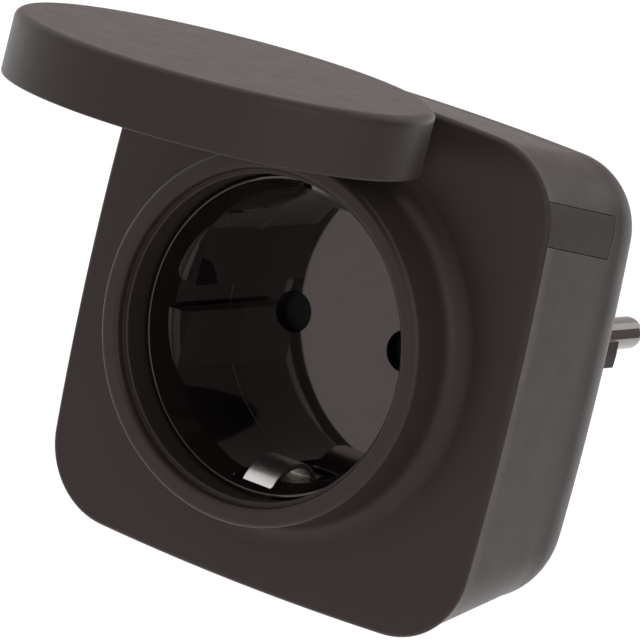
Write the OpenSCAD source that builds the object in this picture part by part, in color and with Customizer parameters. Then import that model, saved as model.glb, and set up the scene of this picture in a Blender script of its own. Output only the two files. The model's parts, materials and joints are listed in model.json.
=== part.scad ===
// Splash-proof smart plug adaptor: a round flip lid over a socket, with a plug on the back.
// The frame: +X right and +Z up as seen from the socket side, +Y the way the plug pins point.
// The origin is the centre of the plug's contact face. All sizes are in millimetres.

/* [Body] */
// Width of the front plate
body_w = 71.5; // [70:0.5:90]
// Height of the front plate
body_h = 71.5; // [70:0.5:90]
// Depth from the front plate's face to the rear face
body_d = 40.2; // [39.5:0.5:52]
// Radius of the front plate's corners
corner_r = 11.5; // [9:0.5:13]
// Radius of the slightly bowed sides
bow_r = 450; // [300:10:900]
// Thickness of the front plate
plate_t = 2.2; // [1.8:0.1:2.6]
// Height of the plate's rim that shows beside the seam
rim_t = 1.0; // [0.6:0.1:1.6]
// Width of the seam between the front cover and the rear housing
seam_t = 0.3; // [0.2:0.05:0.6]
// Step from the plate's edge in to the rear housing
seam_step = 0.3; // [0:0.1:0.6]
// Wall of the rear housing
wall = 2.4; // [1.8:0.1:2.8]
// Draft of the rear housing's sides, in degrees
draft = 7; // [3:0.5:7]
// Radius round the rear edges
rear_r = 16; // [12:0.5:16]
// How much faster the corners sharpen than the sides draw in
corner_fade = 0.4; // [0.3:0.05:0.45]

/* [Collar and socket] */
// Height of the collar above the front plate
collar_h = 9.3; // [8:0.1:12]
// Thickness of the collar's rim
collar_wall = 2.8; // [2.4:0.1:3.6]
// Fillet between the collar and the plate
collar_fillet = 3; // [1:0.5:3]
// Width of the narrow ledge inside the collar
ledge_w = 0.7; // [0.4:0.1:1.2]
// Depth of that ledge below the collar's rim
ledge_d = 1.6; // [1:0.1:2.5]
// Radius of the socket recess
recess_r = 20.2; // [19.6:0.1:22]
// Depth of the socket recess
recess_d = 17.5; // [17:0.1:18.5]
// Wall of the socket insert
insert_wall = 1.8; // [1.6:0.1:2.4]
// Depth of the insert's rim below the collar's rim
insert_drop = 5.8; // [5:0.1:7]
// Thickness of the recess floor
floor_t = 2; // [1.6:0.1:2.6]
// Half distance between the recess's two flats
flat_x = 17.5; // [17:0.1:18]
// Depth at which the flats start below the insert's rim
flat_drop = 3.8; // [3:0.1:5]
// Width of the side grooves in the flats
groove_w = 4.3; // [4.2:0.1:5]
// Half distance between the floors of the side grooves
groove_x = 20.3; // [19.8:0.1:20.8]
// Radius of the pin holes
hole_r = 2.95; // [2.6:0.05:3.1]
// Radius of the insert's fixing flange
flange_r = 27; // [26.5:0.1:29]

/* [Plug] */
// Distance between the two pins
pin_pitch = 19; // [18:0.5:20]
// Radius of a plug pin
pin_r = 2.4; // [2:0.05:2.5]
// Length of a plug pin beyond the contact face
pin_l = 19; // [17:0.5:20]
// Height of the plug boss
boss_l = 17.5; // [16:0.5:18.5]
// Radius of the plug boss
boss_r = 18.6; // [18:0.1:19]
// Half distance between the boss's two flats
boss_flat_x = 15.9; // [15.5:0.1:17.4]
// Width of the boss's side ribs
rib_w = 3.9; // [3.4:0.1:4.1]
// Half distance across the side ribs
rib_x = 18; // [17.6:0.1:20]
// Distance of the earth tube above the centre
tube_z = 10; // [9:0.5:11]

/* [Lid] */
// Depth of the lid from its outer face to its rim
lid_d = 8.8; // [8:0.1:11]
// Wall of the lid
lid_wall = 2.2; // [1.6:0.1:2.8]
// Thickness of the lid's outer face
lid_top = 1.6; // [1.4:0.1:2.4]
// Rounding of the lid's outer edge
lid_round = 1.2; // [0.6:0.1:1.5]
// Angle at which the lid stands open, in degrees
lid_open = 92.3; // [0:0.1:104]
// Radius of the hinge barrel and lugs
barrel_r = 1.9; // [1.7:0.1:2]
// Half length of the hinge barrel
barrel_x = 8.7; // [6:0.1:10]
// Length of each hinge lug
lug_l = 4; // [3:0.5:5]
// Radius of the hinge pin
hinge_pin_r = 0.8; // [0.6:0.05:1]

/* [Button] */
// Height of the side button
button_h = 5.9; // [3.6:0.1:6.5]
// Length of the side button
button_l = 21.8; // [12:0.1:22]
// Travel of the side button
button_travel = 0.5; // [0.3:0.1:0.8]

/* [Clearances] */
// Gap round pieces that fit inside each other
fit_gap = 0.3; // [0.2:0.05:0.4]
// Radial gap of a shaft in a running bore
run_gap = 0.05; // [0.02:0.01:0.1]

/* [Hidden] */
$fn = 96;
over = 1;                                   // how far a cut runs past the solid it cuts
bed = 0.1;                                  // how far joined shapes run into each other

// Levels along Y, from the plug's contact face to the collar's rim
rear_y = -boss_l;
plate_y = rear_y - body_d;
plate_back = plate_y + plate_t;
seam_y = plate_y + rim_t;
housing_y = seam_y + seam_t;
collar_y = plate_y - collar_h;
insert_y = collar_y + insert_drop;
floor_y = insert_y + recess_d;
insert_back = floor_y + floor_t;

// Radii round the socket axis
insert_r = recess_r + insert_wall;
cover_bore = insert_r + fit_gap;
collar_bore = cover_bore + ledge_w;
collar_r = collar_bore + collar_wall;
rim_chamfer = 1.4;

// Lid
lid_gap = 0.4;
barrel_sink = 0.7;
lid_inner_r = collar_r + lid_gap;
lid_r = lid_inner_r + lid_wall;
seal_t = 0.7;
seal_inset = 0.2;
seal_groove = 0.6;
hinge_y = plate_y - barrel_r - lid_gap;
hinge_z = lid_r + barrel_r - barrel_sink;
lid_face_y = hinge_y - lid_d;
ceiling_y = lid_face_y + lid_top;
lug_gap = 0.3;
lug_x = barrel_x + lug_gap;
pin_fit = 0.02;

// Rear housing
slope = tan(draft);
shell_a = body_w / 2 - seam_step;
shell_b = body_h / 2 - seam_step;
shell_r = corner_r - seam_step;
side_end_y = rear_y - rear_r;
side_inset = slope * (side_end_y - housing_y);
arc_steps = 6;
side_points = 2;
corner_points = 6;

// Tongue and gasket inside the seam
tongue_t = 1.5;
tongue_l = 2;
tongue_out = seam_step + wall + fit_gap + slope * (plate_back + tongue_l - housing_y);
gasket_in = 0.45;
gasket_w = 1.6;

// Housing screws, in wells that open at the rear
screw_x = body_w / 2 - 14.75;
screw_r = 1.45;
screw_pilot = 1.5;
screw_hole = 1.7;
screw_head_r = 2.8;
screw_head_t = 2.2;
well_r = 3.3;
boss_post_r = 3.5;
post_r = 4.2;
boss_post_l = 5.1;
post_y = plate_back + boss_post_l + bed;
post_gap = 0.13;
post_wall = shell_b - wall - slope * (post_y - housing_y) - pow(screw_x + boss_post_r, 2) / 2 / bow_r;
screw_z = post_wall - post_gap - boss_post_r;
seat_y = post_y + 2.8;

// Insert screws, through the flange into the collar
small_r = 0.85;
small_pilot = 0.9;
small_hole = 1.1;
small_head_r = 1.7;
small_head_t = 1.2;
insert_screw_r = cover_bore + small_hole + 1.2;
insert_screw_l = 3.6;
flange_t = 1.5;

// Earth springs of the socket
strap_t = 0.8;
strap_w = 5;
strap_z = recess_r + 0.3;
arch_r = 6.6;
arch_rise = 2.6;
arch_y = insert_y + 8.7;
slot_gap = 0.7;
slot_drop = 1.2;

// Shutter and its guide
shutter_h = 7;
shutter_t = 1.5;
shutter_x = pin_pitch / 2 + 3.7;
shutter_play = 0.3;
shutter_travel = shutter_h / 2 + hole_r + 0.15;
pocket_t = 2.4;
guide_wall = 1;
spring_tunnel = 5.4;
coil_r = 0.8;
coil_wire = 0.2;
coil_turns = 8;
tunnel_x = 1.4;
shutter_y = insert_back + shutter_play;
guide_back = insert_back + pocket_t + guide_wall;
pocket_low = -shutter_h / 2 - shutter_travel - shutter_play - 0.2;
tunnel_low = pocket_low - spring_tunnel;

// Plug base, its flange and the board that rests on it
base_ring_t = 1;
base_flange_t = 1.7;
base_flange_r = 20;
base_flange_y = rear_y - wall - base_ring_t;
base_back = base_flange_y - base_flange_t;
boss_hole_r = boss_r + 0.2;
ring_r = 22;
head_r = 3.4;
head_t = 1.6;
head_y = rear_y + head_t;
stud_r = 1.5;
shank_r = pin_r - 0.2;
shank_gap = 0.05;
pin_relief = 0.4;
ear = 15;
ear_r = 3;
earth_z = 17.3;
earth_t = 0.8;
earth_w = 6;
earth_gap = 0.2;
tube_r = 3;
tube_bore = 2.4;
tube_l = 13;
board_t = 1.6;
board_front = base_back - board_t;
cavity_arc = rear_r - wall;
cavity_turn = asin((base_back - side_end_y) / cavity_arc);
cavity_inset = wall + side_inset + cavity_arc * (1 - cos(cavity_turn));
board_x = shell_a - cavity_inset - 1.4;
board_z = shell_b - cavity_inset - 3.4;

// Pieces on the board: [width, height above the board, length], round ones as radii
edge_in = 0.2;
relay_size = [8.6, 13.6, 20.4];
film_size = [5.8, 11, 12];
film_z = -8.5;
can_r = 3.9;
can_l = 11.5;
can_z = 10.2;
choke_r = 3.1;
choke_l = 9;
choke_z = 2;
varistor_r = 4.4;
varistor_t = 4;
varistor_x = 7.5;
varistor_z = 12.5;
fuse_r = 2.3;
fuse_l = 8.5;
fuse_x = 9.5;
fuse_z = -13;
radio_size = [16, 10.8, 1];
radio_can = [10, 8, 1.8];
radio_x = -12;
radio_z = board_z - 2.8;

// Socket contacts and the bracket's cross strap
contact_r = 3.2;
contact_y = guide_back + 0.5;
contact_end = board_front - 2;
contact_slit = 0.8;
tail_t = 0.8;
cross_y = guide_back + 1.2;

// Button, its seal and its switch board
button_t = 1.8;
button_gap = 0.25;
slot_reach = 8;
button_z = body_h / 2 - 9.85;
button_tilt = atan(slope * 1.22);
button_y = housing_y + button_gap + button_h / 2 * sin(button_tilt);
stem_r = 1.3;
stem_sink = 2.2;
switch_gap = 0.1;
seal_sheet = 0.8;
seal_play = 0.15;
seal_edge = 1.2;
stem_x = body_w / 2 - 6.75;
stem_y = housing_y + 9.4;
stem_z = button_z - 2.6;
switch_x = stem_x - button_travel - switch_gap;
switch_half = 1.8;
switch_y = 2.2;
switch_t = 1.9;
plunger_r = 1.1;
plunger_l = 0.8;
side_board_t = 1.2;
side_board_y = 6;
side_board_l = 8.4;
side_board_x = switch_x - plunger_l - switch_t - side_board_t;
led = 1.6;
led_t = 0.9;
led_drop = 3.4;

// ---- Helpers ----------------------------------------------------------------

// A flat outline (x, z) carried along Y from y0 to y1
module along_y(y0, y1) {
  translate([0, y1, 0]) rotate([90, 0, 0]) linear_extrude(y1 - y0) children();
}

// A profile of (radius, y) turned round the Y axis
module spin_y() {
  rotate([-90, 0, 0]) rotate_extrude() children();
}

// A round bar along Y
module bar_y(r, y0, y1, x = 0, z = 0) {
  translate([x, y0, z]) rotate([-90, 0, 0]) cylinder(r = r, h = y1 - y0);
}

// A round bar along X
module bar_x(r, x0, x1, y = 0, z = 0) {
  translate([x0, y, z]) rotate([0, 90, 0]) cylinder(r = r, h = x1 - x0);
}

// A block between two corners
module block(low, high) {
  translate(low) cube(high - low);
}

// Left and right copies, then top and bottom copies
module four_ways() {
  for (sx = [0, 1], sz = [0, 1]) mirror([sx, 0, 0]) mirror([0, 0, sz]) children();
}

// Centre of a corner arc that is tangent to both bowed sides
function corner_centre(a, b, r) =
  let (reach = (bow_r - r) * (bow_r - r),
       z0 = b - r,
       x1 = a - bow_r + sqrt(reach - z0 * z0),
       z1 = b - bow_r + sqrt(reach - x1 * x1),
       x2 = a - bow_r + sqrt(reach - z1 * z1))
  [x2, b - bow_r + sqrt(reach - x2 * x2)];

// The bowed square with true arcs
module bowed_square(a, b, r) {
  c = corner_centre(a, b, r);
  reach_x = c[0] * bow_r / (bow_r - r);
  reach_z = c[1] * bow_r / (bow_r - r);
  intersection() {
    union() {
      square([2 * a, 2 * reach_z], center = true);
      square([2 * reach_x, 2 * b], center = true);
      for (sx = [-1, 1], sz = [-1, 1]) translate([sx * c[0], sz * c[1]]) circle(r);
    }
    translate([a - bow_r, 0]) circle(bow_r);
    translate([bow_r - a, 0]) circle(bow_r);
    translate([0, b - bow_r]) circle(bow_r);
    translate([0, bow_r - b]) circle(bow_r);
  }
}

// A quarter of the same outline as points, from (a, 0) to (0, b)
function quarter(a, b, r) =
  let (c = corner_centre(a, b, r),
       low = atan2(c[1], c[0] - a + bow_r),
       high = 90 - atan2(c[0], c[1] - b + bow_r))
  [for (i = [0:side_points - 1])
     let (t = low * i / side_points) [a - bow_r + bow_r * cos(t), bow_r * sin(t)],
   for (i = [0:corner_points])
     let (t = low + (high - low) * i / corner_points) [c[0] + r * cos(t), c[1] + r * sin(t)],
   for (i = [1:side_points])
     let (t = high + (90 - high) * i / side_points)
     [bow_r * cos(t), b - bow_r + bow_r * sin(t)]];

function outline(a, b, r) =
  let (q = quarter(a, b, r), n = len(q) - 1)
  [for (i = [0:n - 1]) q[i],
   for (i = [n:-1:1]) [-q[i][0], q[i][1]],
   for (i = [0:n - 1]) -q[i],
   for (i = [n:-1:1]) [q[i][0], -q[i][1]]];

// A closed skin through layers of [y, half width, half height, corner radius]
module loft(layers) {
  rings = [for (s = layers) outline(s[1], s[2], s[3])];
  n = len(rings[0]);
  last = len(layers) - 1;
  points = [for (k = [0:last]) for (p = rings[k]) [p[0], layers[k][0], p[1]]];
  sides = [for (k = [0:last - 1]) for (i = [0:n - 1])
    let (j = (i + 1) % n, m = k * n)
    for (f = [[m + i, m + j, m + n + j], [m + i, m + n + j, m + n + i]]) f];
  front = [for (i = [n - 1:-1:0]) i];
  back = [for (i = [0:n - 1]) last * n + i];
  polyhedron(points, concat([front], sides, [back]));
}

// One layer of the rear housing at depth y and edge inset t, moved in by s
function layer(y, t, s) =
  [y, shell_a - t - s, shell_b - t - s, max(shell_r - corner_fade * t - s, 0.6)];

// The rear housing's outer skin, moved inwards by s and starting at y0
module housing_skin(s, y0 = housing_y) {
  arc_r = rear_r - s;
  loft(concat(
    [layer(y0, slope * (y0 - housing_y), s), layer(side_end_y, side_inset, s)],
    [for (i = [1:arc_steps]) let (t = 90 * i / arc_steps)
      layer(side_end_y + arc_r * sin(t), side_inset + arc_r * (1 - cos(t)), s)]));
}

// ---- Covers -----------------------------------------------------------------

module collar_profile() {
  difference() {
    translate([cover_bore, collar_y])
      square([collar_r + collar_fillet - cover_bore, plate_back - collar_y]);
    translate([collar_r, collar_y - over])
      square([collar_fillet + over, collar_h - collar_fillet + over]);
    translate([collar_r + collar_fillet, plate_y - collar_fillet]) circle(collar_fillet);
    translate([cover_bore - over, collar_y - over]) square([ledge_w + over, ledge_d + over]);
  }
}

module hinge_lugs() {
  for (s = [0, 1]) mirror([s, 0, 0]) {
    bar_x(barrel_r, lug_x, lug_x + lug_l, hinge_y, hinge_z);
    block([lug_x, hinge_y, hinge_z - barrel_r], [lug_x + lug_l, plate_y + bed, hinge_z + barrel_r]);
  }
}

module front_cover() {
  color([0.24, 0.21, 0.20]) difference() {
    union() {
      along_y(plate_y, seam_y) bowed_square(body_w / 2, body_h / 2, corner_r);
      along_y(seam_y - bed, plate_back)
        bowed_square(body_w / 2 - tongue_out, body_h / 2 - tongue_out, corner_r - tongue_out);
      along_y(plate_back - bed, plate_back + tongue_l) difference() {
        bowed_square(body_w / 2 - tongue_out, body_h / 2 - tongue_out, corner_r - tongue_out);
        bowed_square(body_w / 2 - tongue_out - tongue_t, body_h / 2 - tongue_out - tongue_t,
          corner_r - tongue_out - tongue_t);
      }
      spin_y() collar_profile();
      hinge_lugs();
      four_ways() bar_y(boss_post_r, plate_back - bed, plate_back + boss_post_l, screw_x, screw_z);
    }
    bar_y(cover_bore, plate_y - bed, plate_back + over);
    bar_x(hinge_pin_r + pin_fit, -lug_x - lug_l - over, lug_x + lug_l + over, hinge_y, hinge_z);
    four_ways() bar_y(screw_pilot, plate_back + 0.2, plate_back + boss_post_l + over,
      screw_x, screw_z);
    for (t = [45:90:315]) rotate([0, t, 0])
      bar_y(small_pilot, plate_back - insert_screw_l - 0.2, plate_back + over, insert_screw_r);
  }
}

// Where the button lies on the right side: a bar that follows the side's draft
module button_bar(grow, ahead, inner_x = 0) {
  translate([0, button_y, button_z]) rotate([-button_tilt, 0, 0])
    block([inner_x, -ahead, -button_h / 2 - grow],
      [body_w, button_l + grow, button_h / 2 + grow]);
}

module rear_housing() {
  color([0.24, 0.21, 0.20]) difference() {
    union() {
      difference() {
        housing_skin(0);
        housing_skin(wall, housing_y - over);
      }
      intersection() {
        housing_skin(wall / 2);
        union() {
          four_ways() bar_y(post_r, post_y, rear_y, screw_x, screw_z);
          bar_y(ring_r, base_flange_y, rear_y - wall / 2);
          four_ways() bar_y(ear_r, base_flange_y, rear_y - wall / 2, ear, ear);
        }
      }
    }
    bar_y(boss_hole_r, base_flange_y - over, rear_y + over);
    four_ways() bar_y(screw_hole, post_y - over, seat_y + over, screw_x, screw_z);
    four_ways() bar_y(well_r, seat_y, rear_y + over, screw_x, screw_z);
    four_ways() bar_y(small_pilot, base_flange_y - over, rear_y - 1, ear, ear);
    button_bar(button_gap, over + button_gap, body_w / 2 - slot_reach);
  }
}

module body_gasket() {
  a = body_w / 2 - seam_step - gasket_in;
  b = body_h / 2 - seam_step - gasket_in;
  r = corner_r - seam_step - gasket_in;
  color([0.10, 0.10, 0.10]) along_y(seam_y, housing_y) difference() {
    bowed_square(a, b, r);
    bowed_square(a - gasket_w, b - gasket_w, r - gasket_w);
  }
}

// ---- Lid --------------------------------------------------------------------

module opened() {
  translate([0, hinge_y, hinge_z]) rotate([-lid_open, 0, 0]) translate([0, -hinge_y, -hinge_z])
    children();
}

module lid_profile() {
  difference() {
    union() {
      translate([0, lid_face_y + lid_round]) square([lid_r, lid_d - lid_round]);
      translate([0, lid_face_y]) square([lid_r - lid_round, lid_d]);
      translate([lid_r - lid_round, lid_face_y + lid_round]) circle(lid_round);
    }
    translate([-over, ceiling_y]) square([lid_inner_r + over, lid_d]);
    translate([collar_bore + seal_inset, ceiling_y - seal_groove])
      square([collar_wall - 2 * seal_inset, seal_groove + over]);
  }
}

module flip_lid() {
  bridge_z = lid_r - lid_wall + bed;
  color([0.26, 0.23, 0.22]) opened() difference() {
    union() {
      spin_y() lid_profile();
      bar_x(barrel_r, -barrel_x, barrel_x, hinge_y, hinge_z);
      block([-barrel_x, hinge_y - barrel_r, bridge_z], [barrel_x, hinge_y, hinge_z]);
    }
    bar_x(hinge_pin_r + run_gap, -barrel_x - over, barrel_x + over, hinge_y, hinge_z);
  }
}

module lid_seal() {
  color([0.08, 0.08, 0.08]) opened() spin_y()
    translate([collar_bore + seal_inset, ceiling_y - seal_groove])
      square([collar_wall - 2 * seal_inset, seal_t]);
}

module hinge_pin() {
  color("silver") bar_x(hinge_pin_r, -lug_x - lug_l, lug_x + lug_l, hinge_y, hinge_z);
}

// ---- Socket -----------------------------------------------------------------

module recess_outline() {
  intersection() {
    circle(recess_r);
    square([2 * flat_x, 4 * recess_r], center = true);
  }
  square([2 * groove_x, groove_w], center = true);
}

module socket_insert() {
  half_slot = strap_w / 2 + slot_gap;
  color([0.10, 0.09, 0.09]) difference() {
    union() {
      bar_y(insert_r, insert_y, insert_back);
      bar_y(flange_r, plate_back, plate_back + flange_t);
    }
    spin_y() polygon([[0, insert_y - over], [recess_r + rim_chamfer, insert_y - over],
      [recess_r + rim_chamfer, insert_y], [recess_r, insert_y + flat_drop],
      [0, insert_y + flat_drop]]);
    along_y(insert_y + flat_drop - bed, floor_y) recess_outline();
    for (s = [-1, 1]) {
      bar_y(hole_r, floor_y - over, insert_back + over, s * pin_pitch / 2);
      block([-half_slot, insert_y + slot_drop, s > 0 ? recess_r - 0.3 : -insert_r - over],
        [half_slot, insert_back + over, s > 0 ? insert_r + over : 0.3 - recess_r]);
    }
    for (t = [45:90:315]) rotate([0, t, 0])
      bar_y(small_hole, plate_back - over, plate_back + flange_t + over, insert_screw_r);
  }
}

module small_screw(y, l, x, z = 0) {
  bar_y(small_r, y - l, y + bed, x, z);
  bar_y(small_head_r, y, y + small_head_t, x, z);
}

module insert_screws() {
  color("silver") for (t = [45:90:315]) rotate([0, t, 0])
    small_screw(plate_back + flange_t, insert_screw_l + flange_t, insert_screw_r);
}

module shutter() {
  color([0.06, 0.06, 0.06])
    block([-shutter_x, shutter_y, -shutter_h / 2],
      [shutter_x, shutter_y + shutter_t, shutter_h / 2]);
}

module shutter_guide() {
  high = shutter_h / 2 + shutter_play;
  side = shutter_x + shutter_play;
  color([0.85, 0.83, 0.78]) difference() {
    union() {
      block([-side - guide_wall, insert_back, pocket_low - guide_wall],
        [side + guide_wall, guide_back, high + guide_wall]);
      block([-tunnel_x - guide_wall, insert_back, tunnel_low - guide_wall],
        [tunnel_x + guide_wall, guide_back, pocket_low]);
    }
    block([-side, insert_back - over, pocket_low], [side, insert_back + pocket_t, high]);
    block([-tunnel_x, insert_back - over, tunnel_low],
      [tunnel_x, insert_back + pocket_t, pocket_low + over]);
    for (s = [-1, 1]) bar_y(hole_r, insert_back, guide_back + over, s * pin_pitch / 2);
  }
}

module shutter_spring() {
  length = -shutter_h / 2 - tunnel_low - 4 * coil_wire;
  color("silver") translate([0, insert_back + pocket_t / 2, tunnel_low + 2 * coil_wire])
    linear_extrude(length, twist = -360 * coil_turns, slices = 12 * coil_turns, $fn = 6)
      translate([coil_r, 0]) circle(coil_wire);
}

// One earth spring: an arch that stands into the recess, on a leg along the insert
module earth_leg() {
  translate([strap_w / 2, 0, 0]) rotate([0, -90, 0]) linear_extrude(strap_w) {
    translate([strap_z, arch_y]) intersection() {
      translate([arch_r - arch_rise, 0]) difference() {
        circle(arch_r);
        circle(arch_r - strap_t);
      }
      translate([-arch_r, -arch_r]) square([arch_r + strap_t, 2 * arch_r]);
    }
    translate([strap_z, arch_y]) square([strap_t, cross_y + strap_t - arch_y]);
  }
}

module earth_bracket() {
  color([0.80, 0.80, 0.82]) {
    earth_leg();
    mirror([0, 0, 1]) earth_leg();
    block([-strap_w / 2, cross_y, -strap_z - bed], [strap_w / 2, cross_y + strap_t, strap_z + bed]);
  }
}

module socket_contact() {
  x = pin_pitch / 2;
  color([0.80, 0.62, 0.30]) {
    difference() {
      bar_y(contact_r, contact_y, contact_end, x);
      bar_y(pin_r, contact_y - over, contact_end + over, x);
      block([x - contact_r - over, contact_y - over, -contact_slit / 2],
        [x, contact_end + over, contact_slit / 2]);
    }
    block([x + pin_r + bed, contact_end - 5, -2], [x + pin_r + bed + tail_t, board_front, 2]);
  }
}

module socket_contact_right() { socket_contact(); }
module socket_contact_left() { mirror([1, 0, 0]) socket_contact(); }

// ---- Plug -------------------------------------------------------------------

module boss_outline() {
  intersection() {
    circle(boss_r);
    square([2 * boss_flat_x, 4 * boss_r], center = true);
  }
  intersection() {
    square([2 * rib_x, rib_w], center = true);
    circle(rib_x);
  }
}

module plug_base() {
  slot = earth_w / 2 + earth_gap;
  color([0.22, 0.20, 0.19]) difference() {
    union() {
      along_y(rear_y, 0) boss_outline();
      bar_y(boss_r, base_back, rear_y + bed);
      bar_y(base_flange_r, base_back, base_flange_y);
      four_ways() bar_y(ear_r, base_back, base_flange_y, ear, ear);
    }
    for (s = [-1, 1]) {
      bar_y(shank_r + shank_gap, base_back - over, over, s * pin_pitch / 2);
      bar_y(head_r + shank_gap, base_back - over, head_y, s * pin_pitch / 2);
      bar_y(pin_r + shank_gap, -pin_relief, over, s * pin_pitch / 2);
      block([-slot, base_back - over, s > 0 ? earth_z - earth_gap / 4 : -boss_r - over],
        [slot, over, s > 0 ? boss_r + over : earth_gap / 4 - earth_z]);
    }
    block([-slot, base_back - over, -base_flange_r - over],
      [slot, base_back + earth_t, base_flange_r + over]);
    bar_y(tube_r, -tube_l, over, 0, tube_z);
    four_ways() bar_y(small_hole, base_back - over, base_flange_y + over, ear, ear);
  }
}

module plug_pin() {
  x = pin_pitch / 2;
  color("silver") {
    bar_y(pin_r, 0, pin_l - pin_r, x);
    translate([x, pin_l - pin_r, 0]) sphere(pin_r);
    bar_y(shank_r, head_y - bed, bed, x);
    bar_y(head_r, rear_y, head_y, x);
    bar_y(stud_r, board_front, rear_y + bed, x);
  }
}

module plug_pin_right() { plug_pin(); }
module plug_pin_left() { mirror([1, 0, 0]) plug_pin(); }

module plug_earth_strap() {
  color([0.80, 0.80, 0.82]) {
    for (s = [0, 1]) mirror([0, 0, s])
      block([-earth_w / 2, base_back, earth_z], [earth_w / 2, -0.6, earth_z + earth_t]);
    block([-earth_w / 2, base_back, -earth_z - bed], [earth_w / 2, base_back + earth_t, earth_z + bed]);
  }
}

module earth_tube() {
  color([0.80, 0.62, 0.30]) difference() {
    bar_y(tube_r, -tube_l, -0.5, 0, tube_z);
    bar_y(tube_bore, -tube_l + 1, over, 0, tube_z);
  }
}

module earth_link() {
  color([0.75, 0.70, 0.30])
    block([-2, cross_y + strap_t, -earth_z - earth_t - 0.4], [2, base_back, -earth_z - 0.4]);
}

module base_screws() {
  color("silver") four_ways() mirror([0, 1, 0]) small_screw(-base_back, 3.8, ear, ear);
}

module housing_screws() {
  color("silver") four_ways() {
    bar_y(screw_r, plate_back + 0.4, seat_y + bed, screw_x, screw_z);
    difference() {
      bar_y(screw_head_r, seat_y, seat_y + screw_head_t, screw_x, screw_z);
      translate([screw_x, seat_y + screw_head_t / 2, screw_z]) rotate([-90, 0, 0])
        cylinder(r = 1.3, h = screw_head_t, $fn = 6);
    }
  }
}

// ---- Electronics ------------------------------------------------------------

module circuit_board() {
  color([0.10, 0.35, 0.18]) difference() {
    block([-board_x, board_front, -board_z], [board_x, base_back, board_z]);
    for (s = [-1, 1]) bar_y(stud_r + shank_gap, board_front - over, base_back + over,
      s * pin_pitch / 2);
    four_ways() bar_y(small_head_r + fit_gap, board_front - over, base_back + over, ear, ear);
    block([-2.4, board_front - over, -board_z - over], [2.4, base_back + over, -earth_z + 0.2]);
  }
}

// A block that stands on the board at x, centred on z
module on_board(size, x, z, lift = 0) {
  block([x, board_front - lift - size[1], z - size[2] / 2],
    [x + size[0], board_front - lift, z + size[2] / 2]);
}

module relay() {
  color([0.12, 0.25, 0.50]) on_board(relay_size, board_x - edge_in - relay_size[0], 0);
}

module film_capacitor() {
  color([0.85, 0.70, 0.20]) on_board(film_size, edge_in - board_x, film_z);
}

module smoothing_capacitor() {
  color([0.15, 0.15, 0.18])
    bar_y(can_r, board_front - can_l, board_front, can_r + edge_in - board_x, can_z);
}

module choke() {
  color([0.55, 0.35, 0.15])
    bar_y(choke_r, board_front - choke_l, board_front, choke_r + edge_in - board_x, choke_z);
}

module varistor() {
  color([0.20, 0.35, 0.65])
    bar_x(varistor_r, varistor_x, varistor_x + varistor_t, board_front - varistor_r, varistor_z);
}

module fuse() {
  color([0.70, 0.68, 0.62]) bar_y(fuse_r, board_front - fuse_l, board_front, fuse_x, fuse_z);
}

module radio_module() {
  can_lift = (radio_size[1] - radio_can[1]) / 2;
  can_mid = radio_z - (radio_size[2] + radio_can[2]) / 2 + bed;
  color([0.10, 0.12, 0.30]) {
    on_board(radio_size, radio_x, radio_z);
    on_board(radio_can, radio_x + 1, can_mid, can_lift);
  }
}

module button_board() {
  color([0.10, 0.35, 0.18])
    block([side_board_x, stem_y - side_board_y, stem_z + switch_half - side_board_l],
      [side_board_x + side_board_t, stem_y + side_board_y, stem_z + switch_half]);
}

module tact_switch() {
  body_x = side_board_x + side_board_t;
  color([0.15, 0.15, 0.15]) {
    block([body_x, stem_y - switch_y, stem_z - switch_half],
      [body_x + switch_t, stem_y + switch_y, stem_z + switch_half]);
    bar_x(plunger_r, body_x + switch_t - bed, switch_x, stem_y, stem_z);
  }
}

module status_led() {
  body_x = side_board_x + side_board_t;
  color([0.90, 0.95, 1.00]) block([body_x, stem_y - led / 2, stem_z - led_drop - led],
    [body_x + led_t, stem_y + led / 2, stem_z - led_drop]);
}

module side_button() {
  color([0.16, 0.14, 0.14]) {
    intersection() {
      difference() {
        housing_skin(0);
        housing_skin(button_t, housing_y - over);
      }
      button_bar(0, 0);
    }
    bar_x(stem_r, stem_x, body_w / 2 - stem_sink, stem_y, stem_z);
  }
}

module button_seal() {
  color([0.10, 0.10, 0.10]) difference() {
    intersection() {
      difference() {
        housing_skin(wall, housing_y - over);
        housing_skin(wall + seal_sheet, housing_y - over);
      }
      button_bar(seal_edge, seal_edge);
      block([0, plate_back + tongue_l + fit_gap, 0], [body_w, 0, body_h]);
    }
    bar_x(stem_r + seal_play, 0, body_w, stem_y, stem_z);
  }
}

front_cover();
rear_housing();
body_gasket();
flip_lid();
lid_seal();
hinge_pin();
socket_insert();
insert_screws();
shutter();
shutter_guide();
shutter_spring();
earth_bracket();
socket_contact_left();
socket_contact_right();
plug_base();
plug_pin_left();
plug_pin_right();
plug_earth_strap();
earth_tube();
earth_link();
base_screws();
circuit_board();
relay();
film_capacitor();
smoothing_capacitor();
choke();
varistor();
fuse();
radio_module();
button_board();
tact_switch();
status_led();
side_button();
button_seal();
housing_screws();
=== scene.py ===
import json
import logging
import math
from collections.abc import Callable, Sequence
from dataclasses import dataclass, field
from enum import Enum

import bmesh
import bpy
import numpy as np
from mathutils import Matrix

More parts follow.
